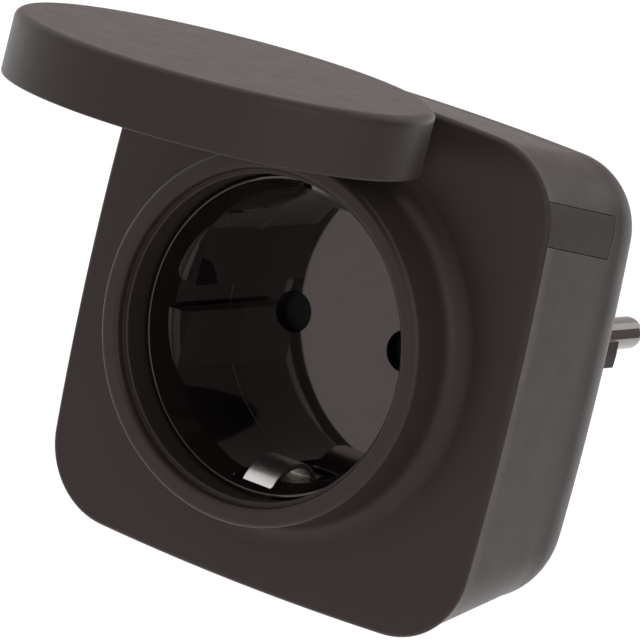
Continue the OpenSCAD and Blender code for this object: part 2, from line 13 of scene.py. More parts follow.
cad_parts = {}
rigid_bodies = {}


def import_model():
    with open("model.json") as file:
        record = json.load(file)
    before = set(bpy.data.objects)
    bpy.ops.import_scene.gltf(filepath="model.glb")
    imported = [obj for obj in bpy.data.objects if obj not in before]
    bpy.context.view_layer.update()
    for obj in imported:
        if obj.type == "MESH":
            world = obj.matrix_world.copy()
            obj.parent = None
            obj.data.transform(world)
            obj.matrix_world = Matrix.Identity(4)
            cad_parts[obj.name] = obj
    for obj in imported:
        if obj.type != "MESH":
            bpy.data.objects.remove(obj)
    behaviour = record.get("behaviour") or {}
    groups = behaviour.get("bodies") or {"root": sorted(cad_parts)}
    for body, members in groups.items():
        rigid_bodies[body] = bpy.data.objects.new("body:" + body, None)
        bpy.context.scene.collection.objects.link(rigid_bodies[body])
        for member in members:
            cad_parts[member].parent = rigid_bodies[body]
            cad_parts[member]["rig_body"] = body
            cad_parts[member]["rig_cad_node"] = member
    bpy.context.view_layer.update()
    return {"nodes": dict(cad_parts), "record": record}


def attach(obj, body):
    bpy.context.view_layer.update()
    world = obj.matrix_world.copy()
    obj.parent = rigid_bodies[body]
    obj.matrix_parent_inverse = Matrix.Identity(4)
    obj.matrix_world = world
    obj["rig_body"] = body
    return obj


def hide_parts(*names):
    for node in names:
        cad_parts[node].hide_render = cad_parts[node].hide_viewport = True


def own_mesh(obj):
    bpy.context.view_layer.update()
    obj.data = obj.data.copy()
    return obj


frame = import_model()

# Looks for a splash-proof smart plug adaptor: a flip lid over a socket, a plug on the back.
#
# Frame: +X right and +Z up as seen from the socket side, +Y the way the plug's pins point. The
# origin is the centre of the plug's contact face. Sizes in the classes are in millimetres, and
# every mesh is turned into metres when it is made.

LOG = logging.getLogger("smart_plug")
MM = 0.001
TURN = 2 * math.pi
QUARTER = math.pi / 2
ARC_LEAD = 0.12  # support points' distance from an arc, as a share of its radius
WELD = 2e-7  # doubles nearer than this are merged, in metres
CAD_WELD = 2e-6  # the same for copies of CAD meshes
HINGE_BORE_X = 14.0  # half length of the tool that bores the hinge, past both lugs
Array = np.ndarray


class Body(Enum):
    """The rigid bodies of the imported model."""

    BASE = "base"
    LID = "lid"
    SHUTTER = "shutter"
    BUTTON = "button"


class Union(Enum):
    """How one closed mesh is combined with another."""

    JOIN = "UNION"
    CUT = "DIFFERENCE"
    KEEP = "INTERSECT"


# ---- Profiles and outlines ----------------------------------------------------------------


def rounded(corners: Sequence[tuple[float, float]], radii: Sequence[float],
            closed: bool = True, steps: int = 5) -> tuple[Array, Array]:
    """A polyline with its corners turned into arcs.

    Each arc has its centre on the corner's bisector, at radius / sin(half the corner's angle),
    and runs between the two tangent points. A support point stands on the straight just before
    and after each arc, so that flat stretches stay flat when shaded.

    Args:
        corners: the polyline's corners.
        radii: an arc radius for each corner; 0 keeps the corner as one point.
        closed: whether the last corner joins the first.
        steps: points in each arc.

    Returns:
        The points, and at each the unit normal on the right-hand side of the way along.
    """
    at = np.asarray(corners, float)
    ahead = np.roll(at, -1, 0) - at
    ahead /= np.maximum(np.linalg.norm(ahead, axis=1, keepdims=True), 1e-9)
    behind = np.roll(ahead, 1, 0)
    if not closed:
        behind[0], ahead[-1] = ahead[0], behind[-1]
    points, normals = [], []
    for here, before, after, radius in zip(at, behind, ahead, radii):
        side_a, side_b = np.array([before[1], -before[0]]), np.array([after[1], -after[0]])
        turn = math.atan2(before[0] * after[1] - before[1] * after[0], float(before @ after))
        if radius <= 0 or abs(turn) < 1e-4:
            middle = side_a + side_b
            points.append(here[None])
            normals.append((middle / np.linalg.norm(middle))[None])
            continue
        reach = radius * abs(math.tan(turn / 2))
        start = here - before * reach
        hub = start - side_a * radius * math.copysign(1, turn)
        t = turn * np.linspace(0, 1, steps)[:, None]
        swung = np.cos(t) * side_a + np.sin(t) * before
        arc = hub + swung * radius * math.copysign(1, turn)
        lead = ARC_LEAD * radius
        points.append(np.vstack([start - before * lead, arc, here + after * (reach + lead)]))
        normals.append(np.vstack([side_a, swung, side_b]))
    return np.vstack(points), np.vstack(normals)


def circle(radius: float, steps: int, centre: tuple[float, float] = (0, 0)) -> tuple[Array, Array]:
    """Points (centre + radius * (cos t, sin t)) for t once round, and their outward normals."""
    t = np.arange(steps) * TURN / steps
    way = np.stack([np.cos(t), np.sin(t)], -1)
    return np.asarray(centre) + radius * way, way


@dataclass(frozen=True)
class BowedSquare:
    """A square with slightly bowed sides and round corners, all tangent arcs.

    Attributes:
        bow: radius of the sides' arcs.
        side_steps: points along each half side.
        corner_steps: points round each corner.
    """

    bow: float = 450.0
    side_steps: int = 26
    corner_steps: int = 20

    def corner(self, half_w: Array, half_h: Array, radius: Array) -> tuple[Array, Array]:
        """The corner arc's centre, found by fixing x and z in turn on both sides' arcs."""
        reach = (self.bow - radius) ** 2
        z = half_h - radius
        for _ in range(2):
            x = half_w - self.bow + np.sqrt(reach - z ** 2)
            z = half_h - self.bow + np.sqrt(reach - x ** 2)
        return x, z

    def loops(self, half_w: Array, half_h: Array, radius: Array) -> tuple[Array, Array]:
        """One loop of points for each set of sizes, and the outward normals.

        A quarter is a side arc (bow * cos t - bow + half width, bow * sin t), a corner arc about
        its centre, and the other side's arc; mirrored quarters make the loop.

        Args:
            half_w: half widths, one for each loop.
            half_h: half heights.
            radius: corner radii.

        Returns:
            Points and normals, each of shape (loops, points, 2).
        """
        a, b, r = (np.atleast_1d(np.asarray(v, float))[:, None] for v in (half_w, half_h, radius))
        x, z = self.corner(a, b, r)
        low = np.arctan2(z, x - a + self.bow)
        high = QUARTER - np.arctan2(x, z - b + self.bow)
        s = np.arange(self.side_steps) / self.side_steps
        t1 = low * s
        t2 = low + (high - low) * np.linspace(0, 1, self.corner_steps)
        t3 = high + (QUARTER - high) * (s + 1 / self.side_steps)
        quarter = np.concatenate([
            np.stack([a - self.bow + self.bow * np.cos(t1), self.bow * np.sin(t1)], -1),
            np.stack([x + r * np.cos(t2), z + r * np.sin(t2)], -1),
            np.stack([self.bow * np.cos(t3), b - self.bow + self.bow * np.sin(t3)], -1)], 1)
        turn = np.concatenate([t1, t2, t3], 1)
        way = np.stack([np.cos(turn), np.sin(turn)], -1)
        flip_x, flip_z = np.array([-1, 1]), np.array([1, -1])

        def four(q: Array) -> Array:
            """The quarter and its three mirror images, in order round the loop."""
            return np.concatenate([q[:, :-1], (q * flip_x)[:, :0:-1], -q[:, :-1],
                                   (q * flip_z)[:, :0:-1]], 1)

        return four(quarter), four(way)


# ---- Meshes -------------------------------------------------------------------------------


def along_y(flat: Array, y: Array) -> Array:
    """Rows of flat (x, z) points, each row at its own y: (rows, points, 3)."""
    y = np.broadcast_to(np.asarray(y, float)[:, None], flat.shape[:2])
    return np.stack([flat[..., 0], y, flat[..., 1]], -1)


def lathe(profile: Array, steps: int = 192) -> Array:
    """A profile of (radius, y) turned round the Y axis: (radius cos t, y, radius sin t)."""
    ring, _ = circle(1.0, steps)
    return along_y(profile[:, :1, None] * ring[None], profile[:, 1])


def mesh_object(name: str, grids: Sequence[Array], wrap: bool = False,
                ends: bool = True) -> bpy.types.Object:
    """A closed mesh of one or more grids that are closed around.

    Point (i, j) is joined to (i + 1, j) and (i, j + 1), and j wraps round. Doubles are merged,
    so a row of equal points becomes a pole, and normals are turned outwards.

    Args:
        name: the object's name.
        grids: arrays (rows, points, 3) in millimetres.
        wrap: whether the last row joins the first.
        ends: whether the first and last rows are closed with a face each.

    Returns:
        The object, at the origin, in metres.
    """
    points, faces, start = [], [], 0
    for grid in grids:
        rows, around = grid.shape[:2]
        i = np.arange(rows if wrap else rows - 1)[:, None]
        j = np.arange(around)[None]
        i2, j2 = (i + 1) % rows, (j + 1) % around
        quads = np.stack([i * around + j, i * around + j2, i2 * around + j2, i2 * around + j], -1)
        faces += (quads.reshape(-1, 4) + start).tolist()
        if ends and not wrap:
            faces.append((np.arange(around)[::-1] + start).tolist())
            faces.append((np.arange(around) + (rows - 1) * around + start).tolist())
        points.append(grid.reshape(-1, 3))
        start += rows * around
    mesh = bpy.data.meshes.new(name)
    mesh.from_pydata((np.vstack(points) * MM).tolist(), [], faces)
    return finished(bpy.data.objects.new(name, mesh))


def finished(piece: bpy.types.Object, sharp: float = 35.0) -> bpy.types.Object:
    """Merges doubles, turns the normals outwards, smooths all but the sharp edges, links."""
    work = bmesh.new()
    work.from_mesh(piece.data)
    bmesh.ops.remove_doubles(work, verts=work.verts, dist=WELD)
    bmesh.ops.dissolve_degenerate(work, edges=work.edges, dist=1e-7)
    bmesh.ops.recalc_face_normals(work, faces=work.faces)
    work.to_mesh(piece.data)
    work.free()
    piece.data.shade_smooth()
    piece.data.set_sharp_from_angle(angle=math.radians(sharp))
    if piece.name not in bpy.context.scene.collection.objects:
        bpy.context.scene.collection.objects.link(piece)
    return piece


def combined(piece: bpy.types.Object, other: bpy.types.Object, how: Union,
             sharp: float = 30.0) -> bpy.types.Object:
    """The piece joined with, cut by or kept inside another closed mesh, which is used up."""
    step = piece.modifiers.new("combine", "BOOLEAN")
    step.object, step.operation, step.solver = other, how.value, "MANIFOLD"
    ready = piece.evaluated_get(bpy.context.evaluated_depsgraph_get())
    made = bpy.data.meshes.new_from_object(ready)
    piece.modifiers.clear()
    piece.data = made
    bpy.data.objects.remove(other)
    made.shade_smooth()
    made.set_sharp_from_angle(angle=math.radians(sharp))
    return piece


def softened(node: str, width: float, segments: int = 3,
             angle: float = 28.0) -> bpy.types.Object:
    """A copy of a CAD node with merged faces and its edges rounded by width millimetres."""
    piece = frame["nodes"][node].copy()
    piece.data = frame["nodes"][node].data.copy()
    piece.parent = None
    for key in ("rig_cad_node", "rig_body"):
        if key in piece:
            del piece[key]
    piece.name = piece.data.name = node + "_finished"
    piece.data.materials.clear()
    bpy.context.scene.collection.objects.link(piece)
    work = bmesh.new()
    work.from_mesh(piece.data)
    bmesh.ops.remove_doubles(work, verts=work.verts, dist=CAD_WELD)
    bmesh.ops.dissolve_limit(work, angle_limit=math.radians(0.4), verts=work.verts,
                             edges=work.edges, use_dissolve_boundaries=False)
    sharp = [e for e in work.edges
             if len(e.link_faces) == 2 and e.calc_face_angle(0) > math.radians(angle)]
    bmesh.ops.bevel(work, geom=sharp, offset=width * MM, offset_type="OFFSET",
                    segments=segments, profile=0.5, affect="EDGES", clamp_overlap=True)
    work.to_mesh(piece.data)
    work.free()
    piece.data.shade_smooth()
    piece.data.set_sharp_from_angle(angle=math.radians(40))
    even = piece.modifiers.new("even", "WEIGHTED_NORMAL")
    even.keep_sharp, even.weight = True, 100
    return piece


# ---- Finishes -----------------------------------------------------------------------------


class Graph:
    """A material's node tree, with short ways to add and join nodes."""

    def __init__(self, name: str) -> None:
        """Makes the material, with a Principled shader joined to its output."""
        self.material = bpy.data.materials.new(name)
        self.material.use_nodes = True
        self.nodes = self.material.node_tree.nodes
        self.links = self.material.node_tree.links
        self.nodes.clear()
        self.shader = self.add("ShaderNodeBsdfPrincipled")
        out = self.add("ShaderNodeOutputMaterial")
        self.links.new(self.shader.outputs[0], out.inputs[0])
        self.where = self.add("ShaderNodeTexCoord").outputs["Object"]

    def add(self, kind: str, **settings: object) -> bpy.types.Node:
        """A node of that kind, with its settings."""
        node = self.nodes.new(kind)
        for key, value in settings.items():
            setattr(node, key, value)
        return node

    def stretched(self, scale: tuple[float, float, float]) -> bpy.types.NodeSocket:
        """Object coordinates scaled along each axis."""
        node = self.add("ShaderNodeMapping")
        node.inputs["Scale"].default_value = scale
        self.links.new(self.where, node.inputs["Vector"])
        return node.outputs[0]

    def noise(self, size_mm: float, detail: float = 3.0,
              scale: tuple[float, float, float] = (1, 1, 1)) -> bpy.types.NodeSocket:
        """Noise whose features are about size_mm across."""
        node = self.add("ShaderNodeTexNoise")
        node.inputs["Scale"].default_value = 1 / (size_mm * MM)
        node.inputs["Detail"].default_value = detail
        self.links.new(self.stretched(scale), node.inputs["Vector"])
        return node.outputs["Fac"]

    def ranged(self, value: bpy.types.NodeSocket, low: float, high: float,
               start: float = 0.3, end: float = 0.7) -> bpy.types.NodeSocket:
        """The value's stretch from start to end mapped to low to high."""
        node = self.add("ShaderNodeMapRange")
        node.inputs["From Min"].default_value = start
        node.inputs["From Max"].default_value = end
        node.inputs["To Min"].default_value = low
        node.inputs["To Max"].default_value = high
        self.links.new(value, node.inputs["Value"])
        return node.outputs[0]

    def blend(self, amount: bpy.types.NodeSocket, one: Sequence[float],
              two: Sequence[float]) -> bpy.types.NodeSocket:
        """A colour between two, by amount."""
        node = self.add("ShaderNodeMix", data_type="RGBA")
        node.inputs["A"].default_value = (*one, 1)
        node.inputs["B"].default_value = (*two, 1)
        self.links.new(amount, node.inputs["Factor"])
        return node.outputs["Result"]

    def relief(self, height: bpy.types.NodeSocket, depth_mm: float,
               strength: float) -> None:
        """Joins a bump of that depth to the shader's normal."""
        node = self.add("ShaderNodeBump")
        node.inputs["Strength"].default_value = strength
        node.inputs["Distance"].default_value = depth_mm * MM
        self.links.new(height, node.inputs["Height"])
        self.links.new(node.outputs[0], self.shader.inputs["Normal"])

    def join(self, socket: bpy.types.NodeSocket, name: str) -> None:
        """Joins a value to one of the shader's inputs."""
        self.links.new(socket, self.shader.inputs[name])


@dataclass(frozen=True)
class Finish:
    """A surface finish with fine grain, uneven gloss and slight clouding of its colour.

    Attributes:
        color: linear base colour.
        roughness: lowest and highest roughness.
        clouding: share by which the colour varies.
        grain: size of the surface grain in millimetres.
        depth: depth of the grain in millimetres.
        metallic: 1 for bare metal.
        specular: strength of the clear reflection on a plastic.
        tint: colour of that reflection.
        stretch: scale of the grain along each axis, for drawn or brushed surfaces.
        coat: weight of a clear coat.
    """

    color: tuple[float, float, float]
    roughness: tuple[float, float] = (0.4, 0.5)
    clouding: float = 0.08
    grain: float = 0.25
    depth: float = 0.004
    metallic: float = 0.0
    specular: float = 0.5
    tint: tuple[float, float, float] = (1, 1, 1)
    stretch: tuple[float, float, float] = (1, 1, 1)
    coat: float = 0.0

    def material(self, name: str) -> bpy.types.Material:
        """The node material."""
        graph = Graph(name)
        shader = graph.shader.inputs
        shader["Metallic"].default_value = self.metallic
        shader["Specular IOR Level"].default_value = self.specular
        shader["Specular Tint"].default_value = (*self.tint, 1)
        shader["Coat Weight"].default_value = self.coat
        clouds = graph.noise(18.0, 2.0)
        light = [min(1.0, c * (1 + self.clouding)) for c in self.color]
        dark = [c * (1 - self.clouding) for c in self.color]
        graph.join(graph.blend(graph.ranged(clouds, 0, 1), dark, light), "Base Color")
        wiped = graph.noise(3.5, 4.0, self.stretch)
        graph.join(graph.ranged(wiped, *self.roughness), "Roughness")
        graph.relief(graph.noise(self.grain, 2.0, self.stretch), self.depth, 0.6)
        return graph.material


WARM = (1.0, 0.84, 0.82)
FINISHES: dict[str, Finish] = {
    "housing_plastic": Finish((0.0200, 0.0145, 0.0138), (0.37, 0.42), 0.03, 0.30, 0.0005,
                              specular=0.22, tint=WARM),
    "lid_plastic": Finish((0.0190, 0.0140, 0.0132), (0.36, 0.40), 0.03, 0.30, 0.0005,
                          specular=0.22, tint=WARM),
    "socket_plastic": Finish((0.0080, 0.0060, 0.0057), (0.035, 0.05), 0.05, 0.35, 0.0001,
                             specular=0.75, tint=WARM),
    "plug_plastic": Finish((0.0190, 0.0140, 0.0132), (0.38, 0.44), 0.06, 0.30, 0.001,
                           specular=0.25, tint=WARM),
    "button_plastic": Finish((0.0150, 0.0105, 0.0100), (0.36, 0.40), 0.03, 0.25, 0.0005,
                             specular=0.10, tint=WARM),
    "shutter_plastic": Finish((0.003, 0.003, 0.003), (0.5, 0.6), 0.1, 0.25, 0.002,
                              specular=0.15),
    "guide_plastic": Finish((0.55, 0.52, 0.46), (0.45, 0.55), 0.04, 0.4, 0.003),
    "gasket_rubber": Finish((0.010, 0.010, 0.010), (0.6, 0.72), 0.15, 0.12, 0.008, specular=0.3),
    "pin_metal": Finish((0.30, 0.285, 0.275), (0.05, 0.08), 0.04, 0.2, 0.0006, metallic=1,
                        stretch=(1, 0.08, 1)),
    "earth_metal": Finish((0.72, 0.70, 0.67), (0.26, 0.32), 0.04, 0.2, 0.0008, metallic=1,
                          stretch=(0.1, 1, 1)),
    "hinge_steel": Finish((0.50, 0.49, 0.48), (0.25, 0.35), 0.05, 0.15, 0.002, metallic=1,
                          stretch=(0.08, 1, 1)),
    "spring_steel": Finish((0.48, 0.47, 0.46), (0.25, 0.35), 0.05, 0.1, 0.001, metallic=1),
    "contact_brass": Finish((0.70, 0.50, 0.22), (0.22, 0.34), 0.08, 0.2, 0.002, metallic=1),
    "screw_steel": Finish((0.58, 0.57, 0.54), (0.25, 0.4), 0.08, 0.2, 0.003, metallic=1),
    "board_laminate": Finish((0.02, 0.10, 0.045), (0.3, 0.4), 0.2, 0.5, 0.004, coat=0.2),
    "relay_case": Finish((0.02, 0.06, 0.20), (0.25, 0.35), 0.05, 0.4, 0.002),
    "film_case": Finish((0.66, 0.44, 0.06), (0.25, 0.35), 0.05, 0.4, 0.002),
    "can_sleeve": Finish((0.02, 0.02, 0.03), (0.2, 0.3), 0.05, 0.5, 0.004),
    "choke_winding": Finish((0.32, 0.13, 0.04), (0.25, 0.35), 0.2, 0.25, 0.03,
                            stretch=(0.3, 4, 0.3)),
    "varistor_coat": Finish((0.03, 0.08, 0.32), (0.3, 0.4), 0.1, 0.8, 0.02),
    "fuse_body": Finish((0.5, 0.48, 0.4), (0.3, 0.4), 0.1, 0.5, 0.004),
    "radio_can": Finish((0.62, 0.62, 0.62), (0.3, 0.45), 0.06, 0.5, 0.004, metallic=1),
    "switch_case": Finish((0.02, 0.02, 0.02), (0.4, 0.5), 0.06, 0.3, 0.004),
    "led_lens": Finish((0.75, 0.80, 0.85), (0.1, 0.15), 0.03, 0.5, 0.001, coat=0.5),
}


class Wardrobe:
    """Makes each finish's material once and dresses pieces in it."""

    def __init__(self) -> None:
        """Starts with no material made."""
        self.made: dict[str, bpy.types.Material] = {}

    def material(self, slot: str) -> bpy.types.Material:
        """The material of a record's slot."""
        if slot not in self.made:
            self.made[slot] = FINISHES[slot].material(slot)
        return self.made[slot]

    def dress(self, piece: bpy.types.Object, slot: str) -> None:
        """Gives a piece that slot's material alone."""
        piece.data.materials.clear()
        piece.data.materials.append(self.material(slot))

    def place(self, piece: bpy.types.Object, slot: str, body: Body, *nodes: str) -> None:
        """Dresses a new piece, sets it on its body and lets it stand for CAD nodes."""
        self.dress(piece, slot)
        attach(piece, body.value)
        if nodes:
            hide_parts(*nodes)
        LOG.info("%s: %d faces on %s", piece.name, len(piece.data.polygons), body.value)

    def dress_nodes(self, subparts: Sequence[dict[str, str]]) -> None:
        """Gives every CAD node the material of its slot in the record."""
        for row in subparts:
            node = frame["nodes"][row["node"]]
            self.dress(node, row["material_slot"])
            LOG.info("%s: CAD node in %s", row["node"], row["material_slot"])


# ---- Sub-assemblies -----------------------------------------------------------------------


@dataclass(frozen=True)
class Levels:
    """Depths along Y and the radii that several pieces share, in millimetres."""

    rear_y: float = -17.5
    plate_y: float = -57.7
    plate_back: float = -55.5
    seam_y: float = -56.7
    housing_y: float = -56.4
    collar_y: float = -67.0
    insert_y: float = -61.2
    floor_y: float = -43.7
    insert_back: float = -41.7
    hinge_y: float = -60.0
    hinge_z: float = 29.6
    half: float = 35.75
    step: float = 0.3
    collar_r: float = 25.8
    collar_bore: float = 23.0
    cover_bore: float = 22.3
    screw_x: float = 21.0
    screw_z: float = 28.0

    @property
    def screws(self) -> list[tuple[float, float]]:
        """Where the four housing screws stand, as (x, z)."""
        return [(a * self.screw_x, b * self.screw_z) for a in (-1, 1) for b in (-1, 1)]


LEVELS = Levels()
SQUARE = BowedSquare()


def bar(name: str, outline: Callable[[float], Array], low: float, high: float,
        edge: float, axis: str = "y") -> bpy.types.Object:
    """An outline carried along an axis, with a quarter-round edge at both ends.

    Near an end the outline is drawn in by edge * (1 - cos t) and set back by edge * (1 - sin t).

    Args:
        name: the object's name.
        outline: gives the outline's points drawn in by a distance.
        low: the low end along the axis.
        high: the high end.
        edge: radius of the round edge.
        axis: "x" or "y".

    Returns:
        The closed object.
    """
    t = np.linspace(0, QUARTER, 5)
    inset = edge * (1 - np.cos(t))
    along = edge * (1 - np.sin(t))
    inset = np.concatenate([[edge * 1.3], inset[::-1], [0, 0], inset, [edge * 1.3]])
    along = np.concatenate([[low], low + along[::-1], [low + 1.2 * edge, high - 1.2 * edge],
                            high - along, [high]])
    flat = np.stack([outline(d) for d in inset])
    grid = along_y(flat, along)
    if axis == "x":
        grid = grid[..., [1, 0, 2]]
    return mesh_object(name, [grid])


def round_bar(radius: float, centre: tuple[float, float] = (0, 0),
              steps: int = 64) -> Callable[[float], Array]:
    """The outline function of a round bar."""
    return lambda inset: circle(radius - inset, steps, centre)[0]


def outlined(points: Array, normals: Array) -> Callable[[float], Array]:
    """The outline function of any loop with outward normals."""
    return lambda inset: points - inset * normals


def hinge_bore(radius: float) -> bpy.types.Object:
    """The tool that bores a piece along the hinge axis."""
    axis = (LEVELS.hinge_y, LEVELS.hinge_z)
    return bar("bore", round_bar(radius, axis, 40), -HINGE_BORE_X, HINGE_BORE_X, 0.05, "x")


@dataclass
class FrontCover:
    """The front plate with its round collar and hinge lugs."""

    corner: float = 11.5
    edge: float = 0.75
    fillet: float = 3.0
    rim_round: float = 0.8
    lip_round: float = 0.28
    ledge_d: float = 1.6
    tongue_in: float = 3.4
    tongue_t: float = 1.5
    tongue_l: float = 2.0
    post_r: float = 3.5
    post_l: float = 5.1
    pilot_r: float = 1.5
    lug: tuple[float, float] = (9.0, 13.0)
    barrel_r: float = 1.9
    pin_bore: float = 0.82

    def shell(self) -> bpy.types.Object:
        """The plate and collar as one profile carried round.

        Outer rows are the bowed square drawn in along its normals. Inner rows are circles whose
        points stand at the square's own angles, so the flat face runs straight between them.
        """
        lv = LEVELS
        outer, _ = rounded(
            [(self.tongue_in + self.tongue_t, lv.plate_back),
             (self.tongue_in + self.tongue_t, lv.plate_back + self.tongue_l),
             (self.tongue_in, lv.plate_back + self.tongue_l), (self.tongue_in, lv.seam_y),
             (0.0, lv.seam_y), (0.0, lv.plate_y), (6.0, lv.plate_y)],
            [0, 0.2, 0.2, 0, 0.12, self.edge, 0], closed=False, steps=7)
        inner, _ = rounded(
            [(lv.collar_r + self.fillet + 1.0, lv.plate_y), (lv.collar_r, lv.plate_y),
             (lv.collar_r, lv.collar_y), (lv.collar_bore, lv.collar_y),
             (lv.collar_bore, lv.collar_y + self.ledge_d),
             (lv.cover_bore, lv.collar_y + self.ledge_d), (lv.cover_bore, lv.plate_back)],
            [0, self.fillet, self.rim_round, self.rim_round, 0.12, self.lip_round, 0],
            closed=False, steps=8)
        base, normals = SQUARE.loops(lv.half, lv.half, self.corner)
        squares = base - outer[:, :1, None] * normals
        turn = np.arctan2(base[0, :, 1], base[0, :, 0])
        rings = inner[:, :1, None] * np.stack([np.cos(turn), np.sin(turn)], -1)[None]
        grid = np.concatenate([along_y(squares, outer[:, 1]), along_y(rings, inner[:, 1])])
        return mesh_object("front_plate_and_collar", [grid], wrap=True)

    def lug_outline(self) -> tuple[Array, Array]:
        """A round nose about the hinge axis with straight sides running into the plate."""
        lv, r = LEVELS, self.barrel_r
        return rounded([(lv.hinge_y - r, lv.hinge_z - r), (lv.plate_y + 0.4, lv.hinge_z - r),
                        (lv.plate_y + 0.4, lv.hinge_z + r), (lv.hinge_y - r, lv.hinge_z + r)],
                       [r * 0.98, 0.05, 0.05, r * 0.98], steps=14)

    def build(self, wardrobe: Wardrobe) -> None:
        """Makes the cover with its lugs, hidden posts and bores."""
        lv = LEVELS
        cover = self.shell()
        points, normals = self.lug_outline()
        for side in (-1, 1):
            ends = sorted(side * v for v in self.lug)
            combined(cover, bar("lug", outlined(points, normals), *ends, 0.3, "x"), Union.JOIN)
        for x, z in lv.screws:
            post = bar("post", round_bar(self.post_r, (x, z)), lv.plate_back - 0.3,
                       lv.plate_back + self.post_l, 0.3)
            combined(cover, post, Union.JOIN)
            pilot = bar("pilot", round_bar(self.pilot_r, (x, z)), lv.plate_back + 0.2,
                        lv.plate_back + self.post_l + 1, 0.02)
            combined(cover, pilot, Union.CUT)
        combined(cover, hinge_bore(self.pin_bore), Union.CUT)
        cover.name = "front_shell"
        wardrobe.place(cover, "housing_plastic", Body.BASE, "front_cover")


@dataclass
class RearHousing:
    """The tapered rear shell with its big rear fillet, screw wells and button slot."""

    corner: float = 11.2
    wall: float = 2.4
    draft: float = 7.0
    rear_r: float = 16.0
    fade: float = 0.4
    arc_rows: int = 22
    hole_r: float = 18.8
    ring_r: float = 22.0
    ring_back: float = -20.9
    post_r: float = 4.2
    post_y: float = -50.3
    seat_y: float = -47.5
    well_r: float = 3.3
    screw_hole: float = 1.7

    @property
    def half(self) -> float:
        """Half width at the seam."""
        return LEVELS.half - LEVELS.step

    def inset_at(self, y: Array) -> Array:
        """How far the skin has drawn in at depth y: the draft, then the fillet's arc."""
        lv = LEVELS
        end = lv.rear_y - self.rear_r
        slope = math.tan(math.radians(self.draft))
        straight = slope * (np.minimum(y, end) - lv.housing_y)
        into = np.clip((y - end) / self.rear_r, 0, 1)
        return straight + self.rear_r * (1 - np.sqrt(1 - into ** 2))

    def skin(self, y: Array, inwards: float, inset: Array) -> Array:
        """Loops of the skin at depths y, moved inwards."""
        half = self.half - inset - inwards
        radius = np.maximum(self.corner - self.fade * inset - inwards, 0.6)
        return along_y(SQUARE.loops(half, half, radius)[0], y)

    def rows(self, inwards: float) -> tuple[Array, Array]:
        """Depths and insets down the side and round the rear fillet."""
        lv = LEVELS
        end = lv.rear_y - self.rear_r
        slope = math.tan(math.radians(self.draft))
        side = np.linspace(lv.housing_y, end, 9)[:-1]
        arc = self.rear_r - inwards
        t = np.linspace(0, QUARTER, self.arc_rows)
        y = np.concatenate([side, end + arc * np.sin(t)])
        inset = np.concatenate([slope * (side - lv.housing_y),
                                slope * (end - lv.housing_y) + arc * (1 - np.cos(t))])
        return y, inset

    def shell(self) -> bpy.types.Object:
        """Outer skin, rear face, the plug's hole and the inner skin as one closed grid."""
        lv = LEVELS
        y, inset = self.rows(0)
        edge_y = np.array([0.16, 0.05, 0.0]) + lv.housing_y
        edge_in = np.array([0.0, 0.05, 0.16])
        front = self.skin(edge_y[::-1], 0, edge_in[::-1] + 0 * edge_y)
        y[0] = lv.housing_y + 0.3
        inset[0] = float(self.inset_at(np.array([y[0]]))[0])
        outer = self.skin(y, 0, inset)
        turn = np.arctan2(outer[-1, :, 2], outer[-1, :, 0])
        profile, _ = rounded([(self.hole_r + 1.2, lv.rear_y), (self.hole_r, lv.rear_y),
                              (self.hole_r, self.ring_back), (self.ring_r, self.ring_back),
                              (self.ring_r, lv.rear_y - self.wall)],
                             [0, 0.4, 0.1, 0.1, 0], closed=False)
        ring = profile[:, :1, None] * np.stack([np.cos(turn), np.sin(turn)], -1)[None]
        y2, inset2 = self.rows(self.wall)
        inner = self.skin(y2[::-1], self.wall, inset2[::-1])
        grid = np.concatenate([front, outer, along_y(ring, profile[:, 1]), inner])
        return mesh_object("rear_shell", [grid], wrap=True)

    def build(self, wardrobe: Wardrobe, slot: bpy.types.Object) -> None:
        """Makes the shell, adds its posts and cuts the wells and the button's slot."""
        lv = LEVELS
        shell = self.shell()
        inner = self.skin(*self.inner_solid())
        for x, z in lv.screws:
            post = bar("post", round_bar(self.post_r, (x, z)), self.post_y, lv.rear_y, 0.2)
            combined(post, mesh_object("limit", [inner]), Union.KEEP)
            combined(shell, post, Union.JOIN)
            well = bar("well", round_bar(self.well_r, (x, z), 96), self.seat_y, 0, 0.3)
            combined(shell, well, Union.CUT)
            hole = bar("hole", round_bar(self.screw_hole, (x, z)), self.post_y - 1,
                       self.seat_y + 1, 0.02)
            combined(shell, hole, Union.CUT)
        combined(shell, slot, Union.CUT)
        shell.name = "rear_shell"
        wardrobe.place(shell, "housing_plastic", Body.BASE, "rear_housing")

    def inner_solid(self) -> tuple[Array, float, Array]:
        """Rows of a solid that fills the shell to the middle of its wall."""
        y, inset = self.rows(self.wall / 2)
        return y, self.wall / 2, inset


